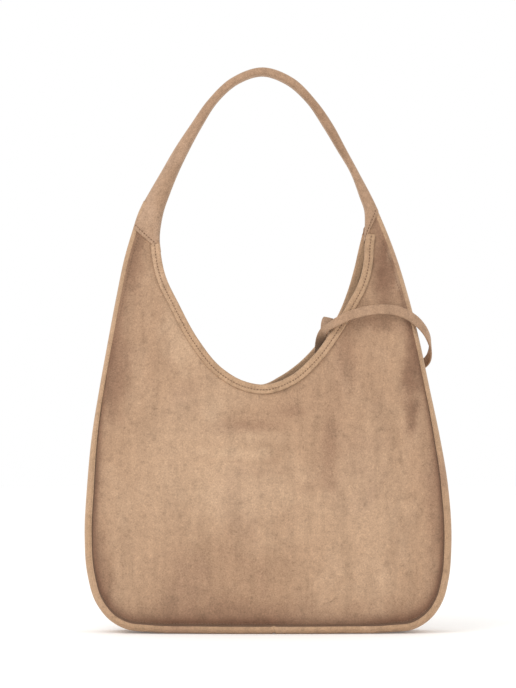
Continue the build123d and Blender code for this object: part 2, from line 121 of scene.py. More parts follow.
def sheet_from_grid(name, points, thickness, flip=False):
    """Cloth: the grid is its outer face, and a second face lies under it, one thickness in."""
    rows, columns = points.shape[:2]
    across = np.gradient(points, axis=0)
    along = np.gradient(points, axis=1)
    normal = np.cross(across, along)
    normal /= np.maximum(np.linalg.norm(normal, axis=2, keepdims=True), TINY)
    if flip:
        normal = -normal
    under = points - normal * thickness
    count = rows * columns
    verts = np.vstack([points.reshape(-1, 3), under.reshape(-1, 3)])
    faces = grid_faces(rows, columns, flip=flip)
    faces += grid_faces(rows, columns, flip=not flip, start=count)
    rim = [i * columns for i in range(rows)]
    rim += [(rows - 1) * columns + j for j in range(1, columns)]
    rim += [i * columns + columns - 1 for i in range(rows - 2, -1, -1)]
    rim += list(range(columns - 2, 0, -1))
    for a, b in zip(rim, rim[1:] + rim[:1]):
        quad = (a, b, b + count, a + count)
        faces.append(quad if flip else quad[::-1])
    return new_object(name, verts, faces)


def distances(curve):
    """How far along a curve each of its points is."""
    return np.concatenate([[0], np.cumsum(np.linalg.norm(np.diff(curve, axis=0), axis=1))])


def values_at(curve, steps, at):
    """A curve's values at chosen distances, where steps are the distances of its own points."""
    return np.stack([np.interp(at, steps, curve[:, k]) for k in range(curve.shape[1])], axis=1)


def evenly(curve, count):
    """The same curve with its points spaced evenly along it."""
    steps = distances(curve)
    return values_at(curve, steps, np.linspace(0, steps[-1], count))


def smooth_line(points, count):
    """Points spaced evenly along a smooth curve through a few given points."""
    given = np.array(points, float)
    steps = distances(given)
    slopes = np.gradient(given, steps, axis=0)
    fine = np.linspace(0, steps[-1], FINE_STEPS * len(given))
    span = np.clip(np.searchsorted(steps, fine, side="right") - 1, 0, len(given) - 2)
    width = (steps[span + 1] - steps[span])[:, None]
    t = ((fine - steps[span])[:, None]) / width
    curve = ((1 + 2 * t) * (1 - t) ** 2 * given[span] + t * (1 - t) ** 2 * width * slopes[span]
             + t * t * (3 - 2 * t) * given[span + 1] + t * t * (t - 1) * width * slopes[span + 1])
    return evenly(curve, count)


def left_normals(curve):
    """Unit vectors to the left of a flat curve's direction."""
    way = np.gradient(curve, axis=0)
    way /= np.linalg.norm(way, axis=1, keepdims=True)
    return np.stack([-way[:, 1], way[:, 0]], axis=1)


def hump(value, width):
    """1 where the value is 0, fading to nothing over about twice the width."""
    return np.exp(-(value / width) ** 2)


# %% [markdown]
# ## The pattern
# A pattern cutter starts from outlines. These are the bag's: the outer edge from one wing down round
# the bottom and up to the other wing, the two edges of the mouth, and the outer and inner edges of
# the strap. Each has only the points that its shape needs, in millimetres from the middle of the
# floor, and a smooth curve runs through them.

# %% Outlines
side_and_bottom = [
    (-124.5, 432), (-130, 420), (-136.5, 400), (-143.5, 376), (-151.5, 338), (-160, 292), (-168.5, 244),
    (-176, 196), (-180.5, 148), (-183, 96), (-180.5, 60), (-171, 29), (-158, 13), (-143, 4.5),
    (-118, 1.2), (-70, 0.2), (0, 0), (70, 0.2), (122, 1.2), (147, 4.5), (163, 15), (173.5, 30),
    (180.5, 55), (183, 86), (179.5, 148), (171.5, 196), (161.5, 244), (151.5, 292), (139.5, 340),
    (128.5, 376), (119.5, 400), (111, 420), (106, 431)]
front_edge = [(-108.4, 389), (-107.5, 380), (-103, 358), (-89, 328), (-69, 292), (-46, 264.5), (-24, 251.5),
              (-3, 248), (22, 256.5), (44, 275.5), (65, 304), (81, 331), (91.5, 352), (96, 372), (97, 388),
              (98.5, 399)]
back_edge = [(-110, 389), (-109, 380), (-104.5, 358), (-91, 328), (-71, 292), (-48, 264), (-26, 251),
             (-5, 247.5), (13, 256), (30, 268), (52, 291), (70, 316), (80, 340), (87, 364),
             (92.5, 388), (95, 398)]
strap_outside = [(-134.5, 404), (-130.5, 416), (-127, 425), (-121, 436), (-107, 460), (-93, 484), (-77, 508),
                 (-60, 532), (-36, 554.5), (-5, 565), (25, 554.5), (48, 532), (65, 508), (78, 484), (91, 460),
                 (103, 437), (107.3, 428), (110.5, 421)]
strap_inside = [(-107.8, 381), (-109, 393), (-107, 412), (-104.5, 423), (-100, 436), (-90.5, 460),
                (-79, 484), (-66, 508), (-50.5, 532), (-30, 550), (-6, 557.5), (17, 550), (38, 532),
                (54.5, 508), (69, 484), (83, 460),
                (92, 436), (96.5, 423), (97.3, 408), (97, 398), (96.3, 391)]

# The bag's half depth by height, on its middle line, and the radius of its bulge from side to side.
DEPTH_HEIGHTS = [0, 60, 131, 190, 256, 300, 338, 376, 409]
HALF_DEPTHS = [40.0, 44.4, 46.0, 43.6, 36.8, 31.0, 25.5, 19.5, 17.5]
BULGE_RADIUS = 1200.0
# The rim of gusset that shows round each panel is widest round the bottom.
RIM_HEIGHTS = [0, 140, 230, 330, 420]
RIM_WIDTHS = [7.6, 7.4, 5.0, 4.6, 4.6]
ALONG, DEPTH_STEPS = 560, 400
depth_line = smooth_line(list(zip(DEPTH_HEIGHTS, HALF_DEPTHS)), DEPTH_STEPS)


def face_depth(x, z):
    """How far the front or the back stands out from the middle, before any seam pulls it in."""
    half = np.interp(z, depth_line[:, 0], depth_line[:, 1])
    return half - (BULGE_RADIUS - np.sqrt(BULGE_RADIUS**2 - np.asarray(x) ** 2))


outline = smooth_line(side_and_bottom, ALONG)
inwards = left_normals(outline)
rim_width = np.interp(outline[:, 1], RIM_HEIGHTS, RIM_WIDTHS)
seam = outline + inwards * rim_width[:, None]
print("outline", round(distances(outline)[-1]), "mm from wing to wing")

# %% [markdown]
# ## Suede
# Micro-suede is a dense felt of very fine polyester, brushed until its nap stands up. The nap lies
# one way or another in patches, so the colour shifts between light and dark without any sharp edge,
# and a low sheen catches the light at grazing angles. The colours are given as sRGB hex values.

# %% Material helpers


def linear(hex_colour):
    """An sRGB hex colour as the linear numbers that the shader works in."""
    channels = [int(hex_colour[k:k + 2], 16) / 255 for k in (1, 3, 5)]
    return tuple(c / 12.92 if c <= 0.04045 else ((c + 0.055) / 1.055) ** 2.4 for c in channels) + (1.0,)


def put(tree, kind, links=(), **settings):
    """Adds a node, sets its fields and sockets, and links other nodes' sockets into it."""
    node = tree.nodes.new(kind)
    for key, value in settings.items():
        if hasattr(node, key):
            setattr(node, key, value)
        else:
            node.inputs[key.replace("_", " ")].default_value = value
    for source, target in links:
        tree.links.new(source, node.inputs[target])
    return node


def start_material(name, **shader):
    material = bpy.data.materials.new(name)
    material.use_nodes = True
    tree = material.node_tree
    principled = tree.nodes["Principled BSDF"]
    for key, value in shader.items():
        principled.inputs[key.replace("_", " ")].default_value = value
    return material, tree, principled


def ramp(tree, factor, stops):
    """Turns a grey factor into colours, through stops of a position and a hex colour."""
    node = put(tree, "ShaderNodeValToRGB", [(factor, "Fac")])
    node.color_ramp.interpolation = "EASE"
    while len(node.color_ramp.elements) < len(stops):
        node.color_ramp.elements.new(0.5)
    for element, (position, colour) in zip(node.color_ramp.elements, stops):
        element.position, element.color = position, linear(colour)
    return node.outputs["Color"]


def mix(tree, factor, a, b, how="MIX"):
    node = put(tree, "ShaderNodeMix", data_type="RGBA", blend_type=how)
    # The colour mix node's sockets: 0 is the factor, 6 and 7 the two colours, 2 the result.
    for value, socket in ((factor, 0), (a, 6), (b, 7)):
        if isinstance(value, bpy.types.NodeSocket):
            tree.links.new(value, node.inputs[socket])
        else:
            node.inputs[socket].default_value = value
    return node.outputs[2]


def overlay(tree, strength, base, factor, stops):
    """Lays a grey pattern over a colour: its lighter greys brighten it and its darker ones deepen it."""
    return mix(tree, strength, base, ramp(tree, factor, stops), "OVERLAY")


# Colours mixed into the suede: darker and lighter nap, and also painted shade and painted highlight. The
# deepest colour is only painted shade.
DARK_NAP_AND_SHADE, PAINTED_DEEP_SHADE, LIGHT_NAP_AND_HIGHLIGHT = "#8A6A55", "#765745", "#C9AB8E"
# How strongly a mark's edge wanders, so that the edge is ragged like brushed nap.
MARK_WANDER = 2.2


def suede(name, light="#B5967B", middle="#AB8B70", dark="#9D7E67", marks=()):
    """Brushed micro-suede. marks are soft patches of darker or lighter colour, as nap, painted shade and
    painted highlight: place, size, colour and strength.
    """
    material, tree, principled = start_material(
        name, Roughness=0.93, Sheen_Weight=0.35, Sheen_Roughness=0.45, Specular_IOR_Level=0.18)
    principled.inputs["Sheen Tint"].default_value = linear("#E8D2BC")
    place = put(tree, "ShaderNodeTexCoord").outputs["Object"]
    # Nap patches: broad and stretched upwards, as a hand brushes down the cloth.
    tall = put(tree, "ShaderNodeMapping", [(place, "Vector")], Scale=(1.0, 1.0, 0.62)).outputs["Vector"]
    broad = put(tree, "ShaderNodeTexNoise", [(tall, "Vector")],
                Scale=14.0, Detail=6.0, Roughness=0.58, Distortion=0.4)
    patch = ramp(tree, broad.outputs["Fac"], [(0.24, dark), (0.5, middle), (0.76, light)])
    # Each mark blends its colour in softly, as painted shade, painted highlight and lighter nap.
    for centre, size, colour, strength in marks:
        near = put(tree, "ShaderNodeMapping", [(place, "Vector")],
                   Location=tuple(-c / s for c, s in zip(centre, size)), Scale=tuple(1 / s for s in size))
        shake = put(tree, "ShaderNodeTexNoise", [(place, "Vector")], Scale=28.0, Detail=4.0, Roughness=0.65)
        spread = put(tree, "ShaderNodeVectorMath", [(shake.outputs["Color"], 0)], operation="SUBTRACT")
        spread.inputs[1].default_value = (0.5, 0.5, 0.5)
        wide = put(tree, "ShaderNodeVectorMath", [(spread.outputs["Vector"], 0)], operation="SCALE")
        wide.inputs["Scale"].default_value = MARK_WANDER
        moved = put(tree, "ShaderNodeVectorMath", [(near.outputs["Vector"], 0), (wide.outputs["Vector"], 1)])
        length = put(tree, "ShaderNodeVectorMath", [(moved.outputs["Vector"], 0)], operation="LENGTH")
        fade = put(tree, "ShaderNodeMapRange", [(length.outputs["Value"], "Value")],
                   interpolation_type="SMOOTHSTEP", From_Min=0.15, From_Max=1.25, To_Min=strength, To_Max=0.0)
        patch = mix(tree, fade.outputs["Result"], patch, linear(colour))
    # A sewn panel also says, at each of its points, how near a seam it is and where it sinks or swells:
    # painted shade beside the seam and in a hollow, painted highlight on a swell.
    for field, colour in (("seam_shade", PAINTED_DEEP_SHADE), ("hollow", DARK_NAP_AND_SHADE), ("raised", LIGHT_NAP_AND_HIGHLIGHT)):
        amount = put(tree, "ShaderNodeAttribute", attribute_name=field)
        patch = mix(tree, amount.outputs["Fac"], patch, linear(colour))
    # Streaks a few millimetres wide.
    thin = put(tree, "ShaderNodeMapping", [(place, "Vector")], Scale=(1.0, 1.0, 0.16)).outputs["Vector"]
    streak = put(tree, "ShaderNodeTexNoise", [(thin, "Vector")], Scale=95.0, Detail=3.0, Roughness=0.6)
    base = overlay(tree, 0.24, patch, streak.outputs["Fac"],
                   [(0.32, "#8F8F8F"), (0.55, "#BCBCBC"), (0.72, "#CFCFCF")])
    # Mottling the size of a fingertip rub and of the felt's own grain.
    rub = put(tree, "ShaderNodeTexNoise", [(place, "Vector")], Scale=140.0, Detail=5.0, Roughness=0.7)
    base = overlay(tree, 0.31, base, rub.outputs["Fac"],
                   [(0.28, "#7A7A7A"), (0.5, "#BCBCBC"), (0.75, "#D8D8D8")])
    pile = put(tree, "ShaderNodeTexNoise", [(place, "Vector")], Scale=620.0, Detail=3.0, Roughness=0.75)
    base = overlay(tree, 0.38, base, pile.outputs["Fac"],
                   [(0.30, "#808080"), (0.5, "#BCBCBC"), (0.70, "#E4E4E4")])
    # Scuffs: small places where the nap has been pressed flat.
    scuff = put(tree, "ShaderNodeTexNoise", [(place, "Vector")],
                Scale=48.0, Detail=6.0, Roughness=0.72, Distortion=1.5)
    base = overlay(tree, 0.34, base, scuff.outputs["Fac"],
                   [(0.30, "#7C7C7C"), (0.42, "#BCBCBC"), (1.0, "#BCBCBC")])
    # The ground weave, drawn about 0.9 mm wide so that it can be seen. A real one is finer.
    weave = put(tree, "ShaderNodeTexVoronoi", [(place, "Vector")], Scale=1100.0)
    base = overlay(tree, 0.22, base, weave.outputs["Distance"], [(0.0, "#D6D6D6"), (0.7, "#ABABAB")])
    tree.links.new(base, principled.inputs["Base Color"])
    fibre = put(tree, "ShaderNodeTexNoise", [(place, "Vector")], Scale=1500.0, Detail=2.0, Roughness=0.7)
    soft = put(tree, "ShaderNodeBump", [(rub.outputs["Fac"], "Height")], Strength=0.22, Distance=0.0009)
    fine = put(tree, "ShaderNodeBump", [(fibre.outputs["Fac"], "Height"), (soft.outputs["Normal"], "Normal")],
               Strength=0.35, Distance=0.0003)
    cloth = put(tree, "ShaderNodeBump",
                [(weave.outputs["Distance"], "Height"), (fine.outputs["Normal"], "Normal")],
                Strength=0.18, Distance=0.0003)
    tree.links.new(cloth.outputs["Normal"], principled.inputs["Normal"])
    return material


# %% [markdown]
# Marks are soft patches painted into the suede's colour. On the front the dark ones are painted shade, where
# shade falls in the creases below the mouth, in the dents, beside the wings and along the seams and the
# bottom. The small light ones on the fold below the mouth and on the right wing's outer edge are painted
# highlight. The broad light patches are partly lighter nap and partly painted light on the swells. Each mark
# has a place and a size in metres, a colour and a strength. The front has the most, the back a few, and the
# edges and straps none.

# %% Suede for each piece
front_marks = [
    ((-0.150, -0.03, 0.268), (0.016, 0.2, 0.072), DARK_NAP_AND_SHADE, 0.75),
    ((-0.132, -0.02, 0.372), (0.010, 0.2, 0.040), DARK_NAP_AND_SHADE, 0.45),
    ((-0.026, -0.04, 0.206), (0.040, 0.2, 0.010), DARK_NAP_AND_SHADE, 0.55),
    ((-0.075, -0.04, 0.236), (0.012, 0.2, 0.022), DARK_NAP_AND_SHADE, 0.30),
    ((0.022, -0.04, 0.222), (0.020, 0.2, 0.012), DARK_NAP_AND_SHADE, 0.45),
    ((-0.030, -0.04, 0.180), (0.055, 0.2, 0.008), LIGHT_NAP_AND_HIGHLIGHT, 0.35),
    ((-0.015, -0.04, 0.162), (0.050, 0.2, 0.006), DARK_NAP_AND_SHADE, 0.30),
    ((0.165, -0.03, 0.110), (0.010, 0.2, 0.080), DARK_NAP_AND_SHADE, 0.45),
    ((-0.172, -0.03, 0.120), (0.008, 0.2, 0.080), DARK_NAP_AND_SHADE, 0.40),
    ((0.062, -0.04, 0.186), (0.011, 0.2, 0.045), DARK_NAP_AND_SHADE, 0.50),
    ((0.050, -0.04, 0.150), (0.022, 0.2, 0.012), DARK_NAP_AND_SHADE, 0.30),
    ((0.116, -0.02, 0.360), (0.013, 0.2, 0.044), PAINTED_DEEP_SHADE, 0.85),
    ((0.105, -0.03, 0.306), (0.045, 0.2, 0.012), DARK_NAP_AND_SHADE, 0.55),
    ((0.143, -0.03, 0.262), (0.012, 0.2, 0.066), PAINTED_DEEP_SHADE, 0.75),
    ((0.075, -0.03, 0.270), (0.016, 0.2, 0.040), DARK_NAP_AND_SHADE, 0.45),
    ((-0.165, -0.03, 0.060), (0.014, 0.2, 0.050), PAINTED_DEEP_SHADE, 0.40),
    ((0.010, -0.04, 0.020), (0.170, 0.2, 0.020), DARK_NAP_AND_SHADE, 0.45),
    ((-0.020, -0.04, 0.140), (0.080, 0.2, 0.055), LIGHT_NAP_AND_HIGHLIGHT, 0.32),
    ((-0.085, -0.03, 0.300), (0.030, 0.2, 0.050), LIGHT_NAP_AND_HIGHLIGHT, 0.45),
    ((0.100, -0.03, 0.160), (0.045, 0.2, 0.090), LIGHT_NAP_AND_HIGHLIGHT, 0.15),
    # Painted highlight along the right wing's outer edge.
    ((0.1215, -0.02, 0.388), (0.004, 0.2, 0.018), LIGHT_NAP_AND_HIGHLIGHT, 0.9),
    ((0.1295, -0.02, 0.358), (0.004, 0.2, 0.020), LIGHT_NAP_AND_HIGHLIGHT, 0.9),
]
suede_front = suede("suede_front", marks=front_marks)
suede_plain = suede("suede_plain", marks=[
    ((0.115, 0.03, 0.300), (0.040, 0.2, 0.050), DARK_NAP_AND_SHADE, 0.45),
    ((-0.060, 0.04, 0.120), (0.070, 0.2, 0.060), DARK_NAP_AND_SHADE, 0.35),
    ((0.040, 0.04, 0.200), (0.080, 0.2, 0.060), LIGHT_NAP_AND_HIGHLIGHT, 0.40)])
suede_edge = suede("suede_edge", light="#BC9C80", middle="#B09073", dark="#A1816A")
suede_strap = suede("suede_strap", light="#B4967E", middle="#A5866D", dark="#907159")
print(len(front_marks), "marks on the front")

# %% [markdown]
# ## Thread, lining, metal and the hidden cloths
# The thread is spun polyester a shade darker than the suede. The lining is a plain twill, 0.8 mm
# thick, whose diagonal ribs are drawn coarse enough to see. The fittings are zinc with a thin gold
# plating, polished and then dulled by handling.

# %% Other materials


def simple_cloth(name, colour, shade, scale, slant=45):
    """A ribbed cloth in two shades. The ribs lean by the slant, in degrees."""
    material, tree, principled = start_material(
        name, Roughness=0.85, Sheen_Weight=0.15, Specular_IOR_Level=0.25)
    place = put(tree, "ShaderNodeTexCoord").outputs["Object"]
    turn = put(tree, "ShaderNodeMapping", [(place, "Vector")], Rotation=(0.0, math.radians(slant), 0.0))
    rib = put(tree, "ShaderNodeTexWave", [(turn.outputs["Vector"], "Vector")],
              Scale=scale, Distortion=1.2, Detail=2.0)
    tone = ramp(tree, rib.outputs["Fac"], [(0.15, shade), (0.85, colour)])
    cloud = put(tree, "ShaderNodeTexNoise", [(place, "Vector")], Scale=30.0, Detail=4.0)
    shaded = overlay(tree, 0.25, tone, cloud.outputs["Fac"], [(0.3, "#8C8C8C"), (0.7, "#C4C4C4")])
    tree.links.new(shaded, principled.inputs["Base Color"])
    bump = put(tree, "ShaderNodeBump", [(rib.outputs["Fac"], "Height")], Strength=0.35, Distance=0.0003)
    tree.links.new(bump.outputs["Normal"], principled.inputs["Normal"])
    return material


def plated(name, colour, roughness):
    """Plated metal, duller in some places than in others."""
    material, tree, principled = start_material(name, Metallic=1.0, Roughness=roughness)
    place = put(tree, "ShaderNodeTexCoord").outputs["Object"]
    wear = put(tree, "ShaderNodeTexNoise", [(place, "Vector")], Scale=420.0, Detail=5.0, Roughness=0.65)
    tone = ramp(tree, wear.outputs["Fac"], [(0.3, "#A98A5E"), (0.62, colour)])
    tree.links.new(tone, principled.inputs["Base Color"])
    dull = put(tree, "ShaderNodeMapRange", [(wear.outputs["Fac"], "Value")],
               To_Min=roughness + 0.12, To_Max=roughness - 0.05)
    tree.links.new(dull.outputs["Result"], principled.inputs["Roughness"])
    bump = put(tree, "ShaderNodeBump", [(wear.outputs["Fac"], "Height")], Strength=0.08, Distance=0.0002)
    tree.links.new(bump.outputs["Normal"], principled.inputs["Normal"])
    return material


thread = simple_cloth("polyester_thread", "#94745B", "#6C503D", scale=2600.0)
lining_twill = simple_cloth("lining_twill", "#7E6350", "#5C4638", scale=620.0)
padding_felt = simple_cloth("padding_felt", "#DAD2C2", "#C8BFAE", scale=300.0, slant=0)
cotton_tape = simple_cloth("cotton_tape", "#DCCFB8", "#BFB199", scale=1400.0, slant=0)
fibre_board = simple_cloth("fibre_board", "#9C866E", "#7F6B56", scale=200.0, slant=0)
zip_tape_cloth = simple_cloth("zip_tape_cloth", "#74594A", "#574136", scale=1500.0, slant=0)
gold_plate = plated("gold_plated_zinc", "#D9BC86", 0.28)

CAD_FINISH = (
    (gold_plate, ("snap_washer_front", "snap_washer_back", "snap_stud", "snap_socket", "zip_teeth_upper",
                  "zip_teeth_lower", "zip_stops", "zip_slider", "zip_pull", "tether_ring")),
    (suede_edge, ("zip_welt", "tether_tab", "tether_clamp")),
    (zip_tape_cloth, ("zip_tapes",)),
    (lining_twill, ("zip_pocket_bag",)),
    (cotton_tape, ("gusset_join_tape",)),
    (fibre_board, ("base_board",)))
for finish, node_names in CAD_FINISH:
    for node_name in node_names:
        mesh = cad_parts[node_name].data
        mesh.materials.clear()
        mesh.materials.append(finish)
print(sum(len(node_names) for finish, node_names in CAD_FINISH), "parts of the packed model finished")

# %% [markdown]
# ## Panels
# Each panel is one piece of suede. Its outer edge is sewn into the gusset, and the seam pulls the
# cloth in, so the panel rolls over towards it. Its inner edge is the mouth. Each row of the grid runs
# from the seam to the mouth, and its points crowd together near both, where the cloth bends most.

# %% Panels
CLOTH = 1.4
ACROSS, CROWDING = 90, 0.12
BINDING_WIDTH = 8.6
# The heights up to which a panel is sewn to the gusset, on its left and on its right.
SEAM_TOP_LEFT, SEAM_TOP_RIGHT = 411, 428
# The seam pulls a panel in by these depths, each over a distance from the seam.
SEAM_PULLS = ((3.0, 4.5), (1.4, 16))
# It pulls less towards the wings.
PULL_HEIGHTS, PULL_SHARES = [200, 340], [1.0, 0.3]
FLAT_BY_SEAM, FLAT_BY_MOUTH = 22, 12
HOLLOW_LIMIT, FULLNESS = 1.4, 0.3
# How much painted shade lies just inside the seam, by height.
SHADE_HEIGHTS, SHADE_AMOUNTS = [0, 60, 200, 340], [0.80, 0.72, 0.50, 0.35]

rng = np.random.default_rng(11)
WAVES = [(rng.uniform(0.008, 0.035, 2) * rng.choice([-1, 1], 2),
          rng.uniform(0, 6.28),
          rng.uniform(0.2, 0.5))
         for _ in range(14)]


def slack(x, z):
    """The gentle, irregular hollows and swells of a soft panel."""
    return sum(height * np.sin(x * pace[0] + z * pace[1] + phase) for pace, phase, height in WAVES)


# Hollows and swells that the bag's own weight gives it: place, size and height, in millimetres.
FRONT_SHAPE = [((-22, 196), (60, 7), 1.5), ((-70, 222), (22, 10), 1.2), ((38, 214), (24, 9), 1.2),
               ((-26, 176), (50, 8), -1.2), ((118, 352), (9, 30), -3.2), ((144, 262), (7, 45), -1.8),
               ((-148, 270), (9, 50), -1.5),
               ((75, 262), (12, 45), -1.6), ((-10, 120), (90, 60), 1.5), ((-128, 372), (7, 30), -1.6),
               ((60, 180), (14, 50), -1.3), ((-22, 214), (40, 12), -1.4), ((-163, 62), (10, 40), -2.2)]
BACK_SHAPE = [((-100, 300), (12, 40), -1.8), ((110, 310), (14, 40), -1.6), ((0, 130), (90, 60), 1.2),
              ((-70, 170), (16, 60), -1.4)]


def panel_face(x, z, shapes, from_seam, from_mouth):
    """The outer face's distance from the middle of the bag."""
    swell = slack(x, z)
    for (cx, cz), (sx, sz), height in shapes:
        swell = swell + height * np.exp(-((x - cx) / sx) ** 2 - ((z - cz) / sz) ** 2)
    # A hollow is never deeper than the padding behind it allows.
    hollow = HOLLOW_LIMIT * np.tanh(swell / HOLLOW_LIMIT)
    swell = np.where(swell < 0, hollow, swell) + FULLNESS
    free = (1 - hump(from_seam, FLAT_BY_SEAM)) * (1 - hump(from_mouth, FLAT_BY_MOUTH))
    depth = face_depth(x, z) + swell * free
    pull = np.interp(z, PULL_HEIGHTS, PULL_SHARES)
    depth = depth - pull * sum(deep * hump(from_seam, wide) for deep, wide in SEAM_PULLS)
    # The binding presses a slight groove beside itself.
    return depth - 0.5 * hump(from_mouth - BINDING_WIDTH, 2.5), swell


def panel(side, edge_points, shapes, name, finish):
    """One panel, and the line of its mouth. side is -1 for the front and 1 for the back."""
    edge = smooth_line(edge_points, ALONG)
    keep = seam[:, 1] < np.where(seam[:, 0] < 0, SEAM_TOP_LEFT, SEAM_TOP_RIGHT)
    outer = evenly(seam[keep], ALONG)
    share = np.linspace(0, 1, ACROSS)
    share = 0.5 - 0.5 * np.cos(np.pi * share) * (1 - CROWDING * np.sin(np.pi * share))
    flat = outer[:, None, :] * (1 - share[None, :, None]) + edge[:, None, :] * share[None, :, None]
    run = np.linalg.norm(edge - outer, axis=1)[:, None]
    from_seam, from_mouth = share[None, :] * run, (1 - share[None, :]) * run
    depth, swell = panel_face(flat[..., 0], flat[..., 1], shapes, from_seam, from_mouth)
    points = np.stack([flat[..., 0], side * depth, flat[..., 1]], axis=2)
    obj = sheet_from_grid(name, points, CLOTH, flip=side > 0)
    obj.data.materials.append(finish)
    # Painted shade darkens the suede just inside the seam and in a hollow, and painted highlight lightens it
    # on a swell.
    by_height = np.interp(flat[..., 1], SHADE_HEIGHTS, SHADE_AMOUNTS)
    fields = {
        "seam_shade": by_height * hump(from_seam - 3, 7.5) + 0.25 * hump(from_seam, FLAT_BY_SEAM),
        "hollow": np.clip((FULLNESS - swell) / HOLLOW_LIMIT, 0, 1) * 0.16,
        "raised": np.clip((swell - FULLNESS) / 2.2, 0, 1) * 0.28}
    for field, amount in fields.items():
        layer = obj.data.attributes.new(field, "FLOAT", "POINT")
        layer.data.foreach_set("value", np.tile(np.clip(amount, 0, 1).ravel(), 2).astype(np.float32))
    return obj, edge


front_panel, front_line = panel(-1, front_edge, FRONT_SHAPE, "front_panel_suede", suede_front)
back_panel, back_line = panel(1, back_edge, BACK_SHAPE, "back_panel_suede", suede_plain)
for piece, nodes in ((front_panel, ("front_panel", "front_interlining")),
                     (back_panel, ("back_panel", "back_interlining"))):
    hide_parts(*nodes)
    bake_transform(piece)
print("two panels, each of", ALONG, "by", ACROSS, "points")

# %% [markdown]
# ## Gusset
# The gusset is a long strip round the sides and the bottom. Its turned edges meet the panels in a
# valley seam, and from there it rolls over to the side, which is the rim that shows round the front.

# %% Gusset
JOIN_X, JOIN_LIFT = 6.0, 1.0
# The rim's roll: how far back it goes, how deep its seam edge lies, and the half depth of the bag
# below which it goes back less.
ROLL, EDGE_SINK, THIN_BAG = 11.0, 1.0, 16
ROLL_COLUMNS, MIDDLE_COLUMNS = 11, 10
SEAM_VALLEY, SIDE_HOLLOW, BOTTOM = 2.2, 1.2, 3
roll_share = np.linspace(0, 1, ROLL_COLUMNS)
roll_inset = 1 - np.sin(roll_share * np.pi / 2) ** 0.9
roll_back = ROLL * (1 - np.cos(roll_share * np.pi / 2))
edge_depth = face_depth(seam[:, 0], seam[:, 1]) - EDGE_SINK
lip = -SEAM_VALLEY * hump(roll_share, 0.12) * np.interp(seam[:, 1], PULL_HEIGHTS, PULL_SHARES)[:, None]
front_roll = np.stack([
    outline[:, None, 0] + inwards[:, None, 0] * roll_inset * rim_width[:, None],
    -(edge_depth[:, None] + lip - roll_back * np.clip(edge_depth[:, None] / THIN_BAG, 0, 1)),
    outline[:, None, 1] + inwards[:, None, 1] * roll_inset * rim_width[:, None]], axis=2)
back_roll = front_roll[:, ::-1] * np.array([1, -1, 1])

# Between the two rolls the side sinks in a little. The bottom stays flat on the floor.
middle_share = np.linspace(0, 1, MIDDLE_COLUMNS + 2)[1:-1]
hollow = SIDE_HOLLOW * np.sin(np.pi * middle_share)
start, stop = front_roll[:, -1, 1], -front_roll[:, -1, 1]
middle = np.stack([
    outline[:, :1] + inwards[:, :1] * hollow,
    start[:, None] * (1 - middle_share) + stop[:, None] * middle_share,
    outline[:, 1:] + inwards[:, 1:] * hollow * (outline[:, 1:] > BOTTOM)], axis=2)
gusset_grid = np.concatenate([front_roll, middle, back_roll], axis=1)

# The two halves meet a little right of the middle of the bottom, where the seam lifts them.
on_bottom = np.flatnonzero(outline[:, 1] < 5)
at_join = int(on_bottom[np.argmin(np.abs(outline[on_bottom, 0] - JOIN_X))])
for name, part_of, join_row in (("gusset_left_suede", slice(0, at_join + 1), -1),
                                ("gusset_right_suede", slice(at_join, ALONG), 0)):
    points = gusset_grid[part_of].copy()
    points[join_row, :, 2] += JOIN_LIFT
    piece = sheet_from_grid(name, points, CLOTH, flip=True)
    piece.data.materials.append(suede_edge)
    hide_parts(name.replace("_suede", ""))
    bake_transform(piece)
print("the gusset's halves meet at", round(outline[at_join, 0], 1), "mm")

# %% [markdown]
# ## Binding
# A strip of suede is folded over the raw edge of the mouth and stitched down. Seen from the front it
# is a flat band with a raised lower lip, and a row of stitches runs nearer the lip than the edge.

# %% Binding
# Each pair is a distance from the edge and a height over the panel's face.
BINDING_PROFILE = [(9.0, 0.0), (8.9, 1.2), (8.2, 1.9), (7.2, 1.7), (6.0, 1.2), (5.0, 0.9), (4.0, 1.2),
                   (2.4, 1.5), (0.9, 1.3), (0.0, 0.2), (-0.3, -1.8), (-0.1, -4.0), (0.8, -5.4),
                   (2.6, -5.9), (6.0, -5.9),
                   (8.6, -5.6), (8.8, -4.9), (6.0, -4.5), (4.0, -2.8), (6.0, -0.4)]


def binding(side, line, name, node):
    """One binding, and the directions that point from the mouth's edge into its panel."""
    away = -left_normals(line)
    profile = np.array(BINDING_PROFILE)
    flat = line[:, None, :] + away[:, None, :] * profile[None, :, :1]
    depth = face_depth(flat[..., 0], flat[..., 1])
    points = np.stack([flat[..., 0], side * (depth + profile[None, :, 1]), flat[..., 1]], axis=2)
    obj = new_object(name, points.reshape(-1, 3), tube_faces(*points.shape[:2], flip=side > 0))
    obj.data.materials.append(suede_edge)
    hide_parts(node)
    return obj, away


front_binding, front_away = binding(-1, front_line, "front_binding_suede", "front_binding")
back_binding, back_away = binding(1, back_line, "back_binding_suede", "back_binding")
for piece in (front_binding, back_binding):
    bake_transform(piece)
print("front binding", round(distances(front_line)[-1]), "mm long")

# %% [markdown]
# ## Lining
# The lining is its own bag, sewn into the mouth. It follows the panels without their puckers. The
# padding between is hidden, so each panel's piece stands for its padding too.

# %% Lining
LINING_DEPTH, LINING_CLOTH, LINING_EDGE = 3.7, 0.7, 5.2
LINING_TOP, LINING_UNDER_EDGE = 396, 1.5
LINING_ACROSS, STRIP_ACROSS = 40, 16
lining_outline = outline + inwards * LINING_EDGE


